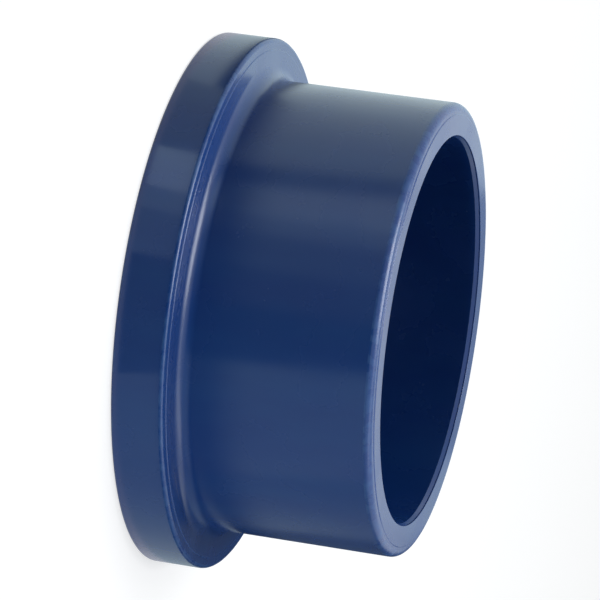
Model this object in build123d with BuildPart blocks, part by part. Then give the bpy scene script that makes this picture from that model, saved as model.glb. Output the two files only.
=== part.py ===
from build123d import *
import os

# PVC-U stub flange: a solvent-cement pipe socket with a thick flange at its closed-in end.
# All sizes are in millimetres. +Z runs along the axis, from the sealing face to the socket mouth,
# and the origin is the middle of the sealing face.

# Pipe that is cemented into the socket
pipe_diameter = 90.0
pipe_wall = 6.0

# Socket around the pipe
socket_clearance = 0.15
socket_depth = 51.0
socket_wall = 7.85

# Flange, and the web between the sealing face and the shoulder that stops the pipe
flange_projection = 9.5
flange_thickness = 12.2
stop_web = 6.2

# Rounds that show: behind the flange, where the body meets it, and outside the mouth
shoulder_fillet = 3.4
mouth_outer_round = 1.8

# Lead-in for the pipe, a steep cone just inside the mouth
lead_in_height = 1.2
lead_in_width = 0.4

# Edges that are only broken
flange_back_chamfer = 0.8
flange_face_chamfer = 0.8
passage_chamfer = 0.8

# Sizes that follow from the ones above
pipe_radius = pipe_diameter / 2
passage_radius = pipe_radius - pipe_wall
socket_radius = pipe_radius + socket_clearance
body_radius = socket_radius + socket_wall
flange_radius = body_radius + flange_projection
overall_length = stop_web + socket_depth

# Corners of half the section, as (distance from the axis, height above the sealing face)
face_outer_corner = (flange_radius, 0)
back_outer_corner = (flange_radius, flange_thickness)
shoulder_corner = (body_radius, flange_thickness)
mouth_outer_corner = (body_radius, overall_length)
mouth_inner_corner = (socket_radius + lead_in_width, overall_length)
lead_in_foot = (socket_radius, overall_length - lead_in_height)
socket_root_corner = (socket_radius, stop_web)
stop_edge_corner = (passage_radius, stop_web)
face_inner_corner = (passage_radius, 0)

section_corners = [
    face_outer_corner,
    back_outer_corner,
    shoulder_corner,
    mouth_outer_corner,
    mouth_inner_corner,
    lead_in_foot,
    socket_root_corner,
    stop_edge_corner,
    face_inner_corner,
]

corner_rounds = {
    shoulder_corner: shoulder_fillet,
    mouth_outer_corner: mouth_outer_round,
}

corner_chamfers = {
    back_outer_corner: flange_back_chamfer,
    face_outer_corner: flange_face_chamfer,
    stop_edge_corner: passage_chamfer,
    face_inner_corner: passage_chamfer,
}

# One moulded piece: half its section, turned once round the axis
with BuildPart() as stub_flange:
    with BuildSketch(Plane.XZ) as section:
        with BuildLine():
            Polyline(*section_corners, close=True)
        make_face()
        for corner, radius in corner_rounds.items():
            fillet(section.vertices().sort_by_distance(corner)[0], radius=radius)
        for corner, length in corner_chamfers.items():
            chamfer(section.vertices().sort_by_distance(corner)[0], length=length)
    revolve(axis=Axis.Z)

stub_flange.part.label = "stub_flange"

os.makedirs("parts", exist_ok=True)
export_step(stub_flange.part, "parts/stub_flange.step")
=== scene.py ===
import bpy
import math
import numpy as np
from mathutils import Matrix, Vector


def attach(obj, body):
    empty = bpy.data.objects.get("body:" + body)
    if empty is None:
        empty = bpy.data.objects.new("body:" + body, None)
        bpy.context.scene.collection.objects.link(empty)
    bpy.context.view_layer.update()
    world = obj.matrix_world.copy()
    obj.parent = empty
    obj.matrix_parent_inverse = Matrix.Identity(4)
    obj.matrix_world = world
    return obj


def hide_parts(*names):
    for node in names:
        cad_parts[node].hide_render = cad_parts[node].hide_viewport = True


# PVC-U stub flange on a pale studio floor: the moulded piece is turned here from one fine section,
# with its real rounds and the gasket grooves, in the place of the plain CAD solid.

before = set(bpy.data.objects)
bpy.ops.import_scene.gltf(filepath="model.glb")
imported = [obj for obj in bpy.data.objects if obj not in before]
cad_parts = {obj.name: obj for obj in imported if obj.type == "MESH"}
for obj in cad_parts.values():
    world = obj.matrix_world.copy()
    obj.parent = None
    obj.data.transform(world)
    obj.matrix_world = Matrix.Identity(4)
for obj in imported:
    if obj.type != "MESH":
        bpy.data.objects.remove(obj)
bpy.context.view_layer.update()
mmPerMetre = 1000
print("frame loaded:", sorted(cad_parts))


def hexToLinear(text):
    # sRGB hex to linear light: the low end is divided by 12.92, the rest is a 2.4 power curve
    values = [int(text[i:i + 2], 16) / 255 for i in (1, 3, 5)]
    return [v / 12.92 if v <= 0.04045 else ((v + 0.055) / 1.055) ** 2.4 for v in values] + [1.0]


def addNode(tree, kind, settings=None, inputs=None):
    # one node with its settings, and inputs that are either values or sockets to link from
    node = tree.nodes.new(kind)
    for name, value in (settings or {}).items():
        setattr(node, name, value)
    for name, value in (inputs or {}).items():
        if isinstance(value, bpy.types.NodeSocket):
            tree.links.new(value, node.inputs[name])
        else:
            node.inputs[name].default_value = value
    return node


def newMaterial(name):
    material = bpy.data.materials.new(name)
    material.use_nodes = True
    material.node_tree.nodes.clear()
    return material, material.node_tree


def addObject(name, mesh):
    thing = bpy.data.objects.new(name, mesh)
    bpy.context.scene.collection.objects.link(thing)
    return thing


# Moulded piece

stubFlange = {
    "passageRadius": 39.0,       # all lengths in millimetres
    "socketRadius": 45.15,
    "bodyRadius": 53.0,
    "flangeRadius": 62.5,
    "flangeThickness": 12.2,
    "stopHeight": 6.2,
    "length": 57.2,
    "shoulderFillet": 3.4,
    "mouthOuterRound": 1.8,
    "leadInHeight": 1.2,
    "leadInWidth": 0.4,
    "leadInRound": 0.2,
    "lipHeight": 0.35,           # short upright land between the lead-in and the mouth face
    "lipRound": 0.08,
    "flangeBackRound": 0.9,
    "flangeFaceRound": 0.6,
    "passageRound": 0.6,
    "stopRound": 0.5,
    "socketRootFillet": 0.5,
    "stepHeight": 0.15,          # witness of the mould's split rings, on the flange's back and on the mouth
    "stepRound": 0.12,
    "backStepRadius": 59.9,
    "mouthStepRadius": 50.4,
    "grooveCount": 6,
    "groovePitch": 2.4,
    "grooveDepth": 0.4,
    "grooveMiddle": 50.75,
    "grooveRound": 0.08,
    "stepsPerTurn": 448,
    "stepsPerRoot": 6.0,         # steps along a round for each root of its size: every facet is as shallow
    "fewestSteps": 2,
    "supportGap": 0.05,          # a ring this far from each round keeps the flats flat in smooth shading
}


def roundedSection(corners, stepsPerRoot, fewestSteps, gap):
    # corners are (radius, height, round), anticlockwise. Each round is an arc tangent to both of its
    # sides, and a support point stands a little way out on either side of it. Returns the points as
    # (radius, height), and for each how much it is rubbed in use: 1 along an outer edge, else 0
    points = np.array([c[:2] for c in corners], float)
    sizes = np.array([c[2] for c in corners], float)
    counts = np.maximum(np.round(stepsPerRoot * np.sqrt(sizes)), fewestSteps).astype(int)
    rows, rubbed = [], []
    for i in range(len(points)):
        here = points[i]
        before = points[i - 1] - here
        after = points[(i + 1) % len(points)] - here
        before = before / np.linalg.norm(before)
        after = after / np.linalg.norm(after)
        half = math.acos(np.clip(before @ after, -1, 1)) / 2
        reach = sizes[i] / math.tan(half)                 # from the corner to where the arc starts
        middle = (before + after) / np.linalg.norm(before + after)
        centre = here + middle * sizes[i] / math.sin(half)
        start = here + before * reach - centre
        end = here + after * reach - centre
        first = math.atan2(start[1], start[0])
        turn = (math.atan2(end[1], end[0]) - first + math.pi) % (2 * math.pi) - math.pi
        angles = first + turn * np.linspace(0, 1, counts[i] + 1)
        arc = centre + sizes[i] * np.stack([np.cos(angles), np.sin(angles)], 1)
        rows += [(here + before * (reach + gap))[None], arc, (here + after * (reach + gap))[None]]
        rubbed += [0.0] + [float(turn > 0)] * (counts[i] + 1) + [0.0]
    return np.concatenate(rows), np.array(rubbed)


def latheMesh(name, section, rubbed, steps):
    # section turned round the Z axis: point (r, z) goes to (r sin a, -r cos a, z) for angles a all round
    angles = np.linspace(0, 2 * np.pi, steps, endpoint=False)
    r, z = section[:, 0][:, None], section[:, 1][:, None]
    xyz = np.stack([r * np.sin(angles), -r * np.cos(angles), z + 0 * angles], 2).reshape(-1, 3)
    i, j = np.meshgrid(np.arange(len(section)), np.arange(steps), indexing="ij")
    nextI, nextJ = (i + 1) % len(section), (j + 1) % steps
    quads = np.stack([i * steps + j, i * steps + nextJ, nextI * steps + nextJ, nextI * steps + j], 2)
    mesh = bpy.data.meshes.new(name)
    mesh.vertices.add(len(xyz))
    mesh.vertices.foreach_set("co", (xyz / mmPerMetre).astype(np.float32).ravel())
    mesh.loops.add(quads.size)
    mesh.loops.foreach_set("vertex_index", quads.astype(np.int32).ravel())
    mesh.polygons.add(len(quads.reshape(-1, 4)))
    mesh.polygons.foreach_set("loop_start", np.arange(0, quads.size, 4, dtype=np.int32))
    mesh.polygons.foreach_set("use_smooth", np.ones(len(quads.reshape(-1, 4)), bool))
    mesh.update(calc_edges=True)
    mesh.attributes.new("rubbed", "FLOAT", "POINT").data.foreach_set(
        "value", np.repeat(rubbed, steps).astype(np.float32))
    mesh.validate()
    return mesh


def makeStubFlange(s):
    # corners run from the flange's face edge up the outside, over the mouth, down the socket and the
    # passage, and back along the sealing face through the V grooves
    top, thick, stop = s["length"], s["flangeThickness"], s["stopHeight"]
    step, bend = s["stepHeight"], s["stepRound"]
    lipRadius = s["socketRadius"] + s["leadInWidth"]
    corners = [
        (s["flangeRadius"], 0, s["flangeFaceRound"]),
        (s["flangeRadius"], thick - step, s["flangeBackRound"]),
        (s["backStepRadius"] + step, thick - step, bend / 2),
        (s["backStepRadius"], thick, bend),
        (s["bodyRadius"], thick, s["shoulderFillet"]),
        (s["bodyRadius"], top - step, s["mouthOuterRound"]),
        (s["mouthStepRadius"] + step, top - step, bend / 2),
        (s["mouthStepRadius"], top, bend),
        (lipRadius, top, s["lipRound"]),
        (lipRadius, top - s["lipHeight"], s["leadInRound"] / 2),
        (s["socketRadius"], top - s["leadInHeight"], s["leadInRound"]),
        (s["socketRadius"], stop, s["socketRootFillet"]),
        (s["passageRadius"], stop, s["stopRound"]),
        (s["passageRadius"], 0, s["passageRound"]),
    ]
    first = s["grooveMiddle"] - (s["grooveCount"] - 1) / 2 * s["groovePitch"]
    for k in range(s["grooveCount"]):
        middle = first + k * s["groovePitch"]
        corners += [
            (middle - s["grooveDepth"], 0, s["grooveRound"]),
            (middle, s["grooveDepth"], s["grooveRound"]),
            (middle + s["grooveDepth"], 0, s["grooveRound"]),
        ]
    section, rubbed = roundedSection(corners, s["stepsPerRoot"], s["fewestSteps"], s["supportGap"])
    mesh = latheMesh("mouldedStubFlange", section, rubbed, s["stepsPerTurn"])
    return addObject("moulded_stub_flange", mesh)


piece = makeStubFlange(stubFlange)
print("moulded piece:", len(piece.data.polygons), "quads")

# Moulded PVC-U

mouldedPvc = {
    "colour": "#133A7C",         # deep blue-grey of pressure fittings, before its gloss
    "flowColour": "#16407F",     # where the melt ran slower and its pigment settled paler
    "rubbedColour": "#2B5088",
    "ior": 1.5,
    "roughness": 0.24,
    "cloudRoughness": 0.06,      # added in the cloudier patches
    "rubbedRoughness": 0.08,     # added along outer edges
    "flowLength": 36.0,          # millimetres, streaks along the axis
    "flowWidth": 9.0,
    "flowRange": (0.35, 0.7),    # levels of the noise where a streak starts and where it is full
    "cloudSize": 14.0,
    "cloudRange": (0.35, 0.7),
    "peelSize": 1.1,             # orange peel, drawn coarser than the real 0.6 to 0.8 mm so that it shows
    "peelHeight": 0.0016,
    "wavesSize": 11.0,           # slow hollows over thicker walls
    "wavesHeight": 0.010,
    "turnedPitch": 0.55,         # rings of the turned mould, drawn coarser than the real 0.1 to 0.2 mm
    "turnedHeight": 0.0006,
    "scuffSize": 2.6,            # patches that break up the rubbed edges
    "scuffRange": (0.42, 0.66),
}


def makeMouldedPvc(s):
    # moulded PVC-U, pigmented blue-grey: opaque and semi-gloss from a polished mould. The eye gets long
    # soft reflections, broken by a faint orange peel and by the rings of the turned mould, and outer
    # edges that handling has rubbed paler and duller
    material, tree = newMaterial("moulded PVC-U blue-grey")
    place = addNode(tree, "ShaderNodeTexCoord").outputs["Object"]

    def noise(size, detail, vector=place):
        # size is a feature's width in millimetres, and the node counts features in a metre
        return addNode(tree, "ShaderNodeTexNoise", None, {
            "Vector": vector, "Scale": mmPerMetre / size, "Detail": detail,
        }).outputs["Fac"]

    def spread(value, low, high, toLow, toHigh):
        # low to high becomes toLow to toHigh, and stays there beyond them
        return addNode(tree, "ShaderNodeMapRange", None, {
            "Value": value, "From Min": low, "From Max": high, "To Min": toLow, "To Max": toHigh,
        }).outputs[0]

    def mixColour(factor, first, second):
        # a colour mix has its two colours on sockets 6 and 7, and its result on output 2
        mix = addNode(tree, "ShaderNodeMix", {"data_type": "RGBA"})
        tree.links.new(factor, mix.inputs[0])
        for socket, colour in ((mix.inputs[6], first), (mix.inputs[7], second)):
            if isinstance(colour, bpy.types.NodeSocket):
                tree.links.new(colour, socket)
            else:
                socket.default_value = colour
        return mix.outputs[2]

    def bump(pattern, height, normal=None):
        # height is the relief in millimetres, and normal is the relief that this one lies on
        inputs = {"Height": pattern, "Strength": 1.0, "Distance": height / mmPerMetre}
        if normal is not None:
            inputs["Normal"] = normal
        return addNode(tree, "ShaderNodeBump", None, inputs).outputs["Normal"]

    def calculate(operation, a, b):
        node = addNode(tree, "ShaderNodeMath", {"operation": operation})
        for socket, value in zip(node.inputs, (a, b)):
            if isinstance(value, bpy.types.NodeSocket):
                tree.links.new(value, socket)
            else:
                socket.default_value = value
        return node.outputs[0]

    # colour: streaks along the axis, then the rubbed edges
    squeeze = s["flowWidth"] / s["flowLength"]
    along = addNode(tree, "ShaderNodeMapping", None, {"Vector": place, "Scale": (1, 1, squeeze)}).outputs[0]
    flow = spread(noise(s["flowWidth"], 3.0, along), *s["flowRange"], 0.0, 1.0)
    body = mixColour(flow, hexToLinear(s["colour"]), hexToLinear(s["flowColour"]))
    edge = addNode(tree, "ShaderNodeAttribute", {"attribute_name": "rubbed"}).outputs["Fac"]
    patches = spread(noise(s["scuffSize"], 4.0), *s["scuffRange"], 0.0, 1.0)
    rubbed = calculate("MULTIPLY", edge, patches)
    colour = mixColour(rubbed, body, hexToLinear(s["rubbedColour"]))

    # roughness: cloudy patches, and the rubbed edges on top
    clouds = spread(noise(s["cloudSize"], 4.0), *s["cloudRange"], 0.0, s["cloudRoughness"])
    dull = calculate("MULTIPLY", rubbed, s["rubbedRoughness"])
    roughness = calculate("ADD", calculate("ADD", clouds, dull), s["roughness"])

    # relief: slow waves, orange peel, and rings about the axis from radius and height alone
    split = addNode(tree, "ShaderNodeSeparateXYZ", None, {0: place})
    flat = addNode(tree, "ShaderNodeCombineXYZ", None, {0: split.outputs[0], 1: split.outputs[1]})
    radius = addNode(tree, "ShaderNodeVectorMath", {"operation": "LENGTH"}, {0: flat.outputs[0]})
    rings = addNode(tree, "ShaderNodeCombineXYZ", None, {0: radius.outputs["Value"], 1: split.outputs[2]})
    normal = bump(noise(s["wavesSize"], 1.0), s["wavesHeight"])
    normal = bump(noise(s["peelSize"], 2.0), s["peelHeight"], normal)
    normal = bump(noise(s["turnedPitch"], 1.0, rings.outputs[0]), s["turnedHeight"], normal)

    shader = addNode(tree, "ShaderNodeBsdfPrincipled", None, {
        "Base Color": colour,
        "Roughness": roughness,
        "IOR": s["ior"],
        "Normal": normal,
    })
    addNode(tree, "ShaderNodeOutputMaterial", None, {"Surface": shader.outputs["BSDF"]})
    return material


piece.data.materials.append(makeMouldedPvc(mouldedPvc))
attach(piece, "root")
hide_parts("stub_flange")
print("material: moulded PVC-U")

# Floor and sky

studio = {
    "floorSize": 6.0,            # metres
    "floorDrop": 0.00005,        # a hair below the sealing face, so that the two don't lie in one plane
    "floorColour": "#A6A6A4",
    "floorWhite": 0.70,          # added for the eye and the gloss, so that the open floor comes to white
    "skyColour": "#EEF6F5",
    "skyLight": 0.06,            # what the room adds from everywhere
    "skyWhite": 1.22,            # how bright the room looks in the gloss
    "flagRadius": 0.0385,        # metres, half a millimetre inside the passage
    "flagHeight": 0.0004,
    "flagCorners": 64,
}


def seenRay(tree):
    # 1 for rays that look at a thing: from the camera, off a gloss, or through glass
    path = addNode(tree, "ShaderNodeLightPath")
    glossy = addNode(tree, "ShaderNodeMath", {"operation": "MAXIMUM"})
    tree.links.new(path.outputs["Is Camera Ray"], glossy.inputs[0])
    tree.links.new(path.outputs["Is Glossy Ray"], glossy.inputs[1])
    every = addNode(tree, "ShaderNodeMath", {"operation": "MAXIMUM"})
    tree.links.new(glossy.outputs[0], every.inputs[0])
    tree.links.new(path.outputs["Is Transmission Ray"], every.inputs[1])
    return every.outputs[0]


def makeFloor(s):
    half, low = s["floorSize"] / 2, -s["floorDrop"]
    corners = [(-half, -half, low), (half, -half, low), (half, half, low), (-half, half, low)]
    mesh = bpy.data.meshes.new("floor")
    mesh.from_pydata(corners, [], [(0, 1, 2, 3)])
    # pale paper: white to the eye and in gloss, darker where the object takes its light. From below it
    # can be seen through, so that the sealing face shows
    material, tree = newMaterial("pale paper sweep")
    paper = addNode(tree, "ShaderNodeBsdfDiffuse", None, {"Color": hexToLinear(s["floorColour"])})
    white = addNode(tree, "ShaderNodeMath", {"operation": "MULTIPLY"})
    tree.links.new(seenRay(tree), white.inputs[0])
    white.inputs[1].default_value = s["floorWhite"]
    glow = addNode(tree, "ShaderNodeEmission", None, {"Strength": white.outputs[0]})
    both = addNode(tree, "ShaderNodeAddShader")
    tree.links.new(paper.outputs[0], both.inputs[0])
    tree.links.new(glow.outputs[0], both.inputs[1])
    side = addNode(tree, "ShaderNodeNewGeometry")
    clear = addNode(tree, "ShaderNodeBsdfTransparent")
    sheet = addNode(tree, "ShaderNodeMixShader", None, {
        0: side.outputs["Backfacing"], 1: both.outputs[0], 2: clear.outputs[0],
    })
    addNode(tree, "ShaderNodeOutputMaterial", None, {"Surface": sheet.outputs[0]})
    mesh.materials.append(material)
    addObject("floor", mesh)


def makeFlag(s):
    # black flag under the open passage, met only by scattered light: it keeps the floor's bounce out of
    # the bore, and the floor itself still shows through it
    mesh = bpy.data.meshes.new("boreFlag")
    angles = np.linspace(0, 2 * np.pi, s["flagCorners"], endpoint=False)
    height = np.full(s["flagCorners"], s["flagHeight"])
    disc = np.stack([np.cos(angles) * s["flagRadius"], np.sin(angles) * s["flagRadius"], height], 1)
    mesh.from_pydata(disc.tolist(), [], [tuple(range(s["flagCorners"]))])
    material, tree = newMaterial("black card")
    black = addNode(tree, "ShaderNodeBsdfDiffuse", None, {"Color": (0, 0, 0, 1)})
    addNode(tree, "ShaderNodeOutputMaterial", None, {"Surface": black.outputs[0]})
    mesh.materials.append(material)
    flag = addObject("boreFlag", mesh)
    flag.visible_camera = False
    flag.visible_glossy = False
    flag.visible_shadow = False


def makeSky(s):
    world = bpy.data.worlds.new("studio")
    world.use_nodes = True
    tree = world.node_tree
    tree.nodes.clear()
    level = addNode(tree, "ShaderNodeMapRange", None, {
        "Value": seenRay(tree), "To Min": s["skyLight"], "To Max": s["skyWhite"],
    })
    room = addNode(tree, "ShaderNodeBackground", None, {
        "Color": hexToLinear(s["skyColour"]), "Strength": level.outputs[0],
    })
    addNode(tree, "ShaderNodeOutputWorld", None, {"Surface": room.outputs[0]})
    bpy.context.scene.world = world


makeFloor(studio)
makeFlag(studio)
makeSky(studio)
bpy.context.scene.view_settings.view_transform = "Standard"
print("floor and sky")

# Camera, fitted to the outline of the piece in the photograph

view = {
    "lens": 230.4,               # millimetres, the photograph's narrow angle
    "sensorWidth": 36.0,
    "clip": (0.05, 20.0),        # metres
    "elevation": math.asin(0.2473),
    "roll": math.radians(98.13),
    "offset": (-0.024256, 0.000675, -0.90159),   # the origin in camera axes, metres
}


def makeCamera(s):
    # looks along +Y and down, rolled so that the mouth points to the right of the picture
    e, roll = s["elevation"], s["roll"]
    right = Vector((1, 0, 0))
    up = Vector((0, math.sin(e), math.cos(e)))
    cameraX = right * math.cos(roll) + up * math.sin(roll)
    cameraY = up * math.cos(roll) - right * math.sin(roll)
    cameraZ = Vector((0, -math.cos(e), math.sin(e)))
    ox, oy, oz = s["offset"]
    data = bpy.data.cameras.new("camera")
    data.lens = s["lens"]
    data.sensor_width = s["sensorWidth"]
    data.clip_start, data.clip_end = s["clip"]
    camera = addObject("camera", data)
    turn = Matrix((cameraX, cameraY, cameraZ)).transposed().to_4x4()
    turn.translation = -(cameraX * ox + cameraY * oy + cameraZ * oz)
    camera.matrix_world = turn
    bpy.context.scene.camera = camera


makeCamera(view)
print("camera")

# Lamps

lamps = {
    "overheadSoftbox": {
        "direction": (-0.21, 0.0, 0.97), "distance": 1.2, "size": (0.62, 0.80), "watts": 12.8,
        "tint": (0.96, 1.0, 1.06), "inGloss": True,
    },
    "overheadFill": {            # weak and wide, so that the softbox's light fades out towards +X
        "direction": (0.45, 0.0, 0.89), "distance": 1.2, "size": (0.90, 0.50), "watts": 2.0,
        "tint": (0.96, 1.0, 1.06), "inGloss": True,
    },
    "frontStrip": {              # low and long, so that it lights the outside and not the bore
        "direction": (0.7, -0.71, 0.035), "distance": 1.5, "size": (0.10, 1.4), "watts": 9.0,
        "tint": (1.0, 1.0, 1.0), "inGloss": False,
    },
}


def softLamp(name, s):
    # rectangular softbox at a distance along a direction, facing the object. Sizes and distances are
    # in metres
    data = bpy.data.lights.new(name, "AREA")
    data.shape = "RECTANGLE"
    data.size, data.size_y = s["size"]
    data.energy = s["watts"]
    data.color = s["tint"]
    lamp = addObject(name, data)
    back = Vector(s["direction"]).normalized()
    side = Vector((0, 1, 0)).cross(back).normalized()
    turn = Matrix((side, back.cross(side), back)).transposed().to_4x4()
    turn.translation = back * s["distance"]
    lamp.matrix_world = turn
    lamp.visible_camera = False
    lamp.visible_glossy = s["inGloss"]


for name, settings in lamps.items():
    softLamp(name, settings)
print("lamps:", len(lamps))

# Painted reflections: glowing cards close round the piece that only its gloss meets, in the floor's place.
# They are no lamps:
# they paint into the gloss a dark room in front and pale boards and a softbox at the sides, with painted
# shade near the flange's height. Each card is (name, first azimuth, last azimuth, level, line, shade), with
# azimuths in degrees from the camera towards +X.

paintedReflectionCards = {
    "tint": (1.0, 1.2, 1.2, 1),
    "lean": 0.0055,              # an azimuth grows by this share for each mm above leanHeight
    "leanHeight": 24.0,
    "leanMiddle": -45.0,         # azimuth where the lean is full; it is gone at 0 and at twice this
    "columns": 24,
    "lines": {                   # radius and height in mm, flaring away from the flange
        "low": [(66.0, 0.3), (71.1, 9.0)],
        "high": [(71.1, 9.0), (82.9, 29.0), (94.7, 49.0), (110.0, 75.0)],
        "back": [(71.1, 9.0), (110.0, 75.0), (116.5, 86.0)],
    },
    "shades": {                  # painted shade in the reflection near the flange: height and share of the level at the foot, then at the top
        "plain": None,
        "belowFlange": (4.8, 1.0, 7.2, 0.06),
        "nearFlange": (11.0, 0.1, 22.0, 1.0),
        "upperFoot": (7.5, 0.04, 17.0, 1.0),
        "sideFoot": (8.5, 0.08, 11.5, 1.0),
    },
    # every entry below is a painted reflection band, named after what it paints into the gloss
    "ring": [
        ("lowBackBoard", -180, -60, 0.95, "low", "belowFlange"),
        ("lowUpperGap", -60, -37, 0.6, "low", "plain"),
        ("lowSoftboxReflection", -37, -25, 1.6, "low", "plain"),
        ("lowFade", -25, -19, 0.85, "low", "plain"),
        ("lowRoomEdge", -19, -8, 0.58, "low", "plain"),
        ("lowRoom", -8, 18.5, 0.2, "low", "plain"),
        ("lowLowerBoard", 18.5, 40, 0.6, "low", "plain"),
        ("lowLowerEnd", 40, 180, 0.55, "low", "plain"),
        ("backBoard", -180, -159.5, 0.35, "back", "plain"),
        ("cornerBoard", -159.5, -88, 1.0, "high", "sideFoot"),
        ("upperBoard", -88, -50, 0.97, "high", "upperFoot"),
        ("upperGap", -50, -42, 0.38, "high", "nearFlange"),
        ("sideSoftboxReflection", -42, -30, 1.2, "high", "nearFlange"),
        ("sideFade", -30, -24, 0.75, "high", "nearFlange"),
        ("roomEdge", -24, -12, 0.42, "high", "nearFlange"),
        ("roomDim", -12, 0, 0.25, "high", "nearFlange"),
        ("darkRoom", 0, 18.5, 0.09, "high", "nearFlange"),
        ("lowerBoard", 18.5, 62, 0.6, "high", "nearFlange"),
        ("lowerShade", 62, 103, 0.36, "high", "nearFlange"),
        ("lowerDark", 103, 150, 0.08, "high", "nearFlange"),
        ("backCorner", 150, 163, 0.6, "back", "plain"),
        ("backLower", 163, 180, 0.36, "back", "plain"),
    ],
}


def makePaintedReflectionCard(name, first, last, level, line, shade, s):
    # a painted reflection: a sector of flaring cones seen from inside, glowing for the gloss only. Point
    # (azimuth a, radius r, height z) goes to (r sin a, -r cos a, z). Around leanMiddle the azimuth grows
    # with height
    r, z = np.array(s["lines"][line]).T[:, :, None]
    azimuth = np.linspace(first, last, s["columns"])[None]
    share = np.clip(1 - np.abs(azimuth / s["leanMiddle"] - 1), 0, 1)
    a = np.radians(azimuth * (1 + s["lean"] * share * (z - s["leanHeight"])))
    xyz = np.stack([r * np.sin(a), -r * np.cos(a), z + 0 * a], 2).reshape(-1, 3) / mmPerMetre
    n = s["columns"]
    i, j = np.meshgrid(np.arange(len(r) - 1), np.arange(n - 1), indexing="ij")
    quads = np.stack([i * n + j, i * n + j + 1, (i + 1) * n + j + 1, (i + 1) * n + j], 2).reshape(-1, 4)
    mesh = bpy.data.meshes.new(name)
    mesh.from_pydata(xyz.tolist(), [], quads.tolist())
    material, tree = newMaterial(name)
    glow = addNode(tree, "ShaderNodeEmission", None, {"Color": s["tint"], "Strength": level})
    # painted shade: over a band of heights the glow is dimmed, standing in for the flange's shade in the
    # reflection
    if s["shades"][shade]:
        low, lowShare, high, highShare = s["shades"][shade]
        place = addNode(tree, "ShaderNodeTexCoord")
        split = addNode(tree, "ShaderNodeSeparateXYZ", None, {0: place.outputs["Object"]})
        rise = addNode(tree, "ShaderNodeMapRange", {"interpolation_type": "SMOOTHSTEP"}, {
            "Value": split.outputs["Z"], "From Min": low / mmPerMetre, "From Max": high / mmPerMetre,
            "To Min": lowShare * level, "To Max": highShare * level,
        })
        tree.links.new(rise.outputs[0], glow.inputs["Strength"])
    addNode(tree, "ShaderNodeOutputMaterial", None, {"Surface": glow.outputs[0]})
    mesh.materials.append(material)
    card = addObject(name, mesh)
    card.visible_camera = False
    card.visible_diffuse = False
    card.visible_shadow = False


for card in paintedReflectionCards["ring"]:
    makePaintedReflectionCard(*card, paintedReflectionCards)
print("cards:", len(paintedReflectionCards["ring"]))
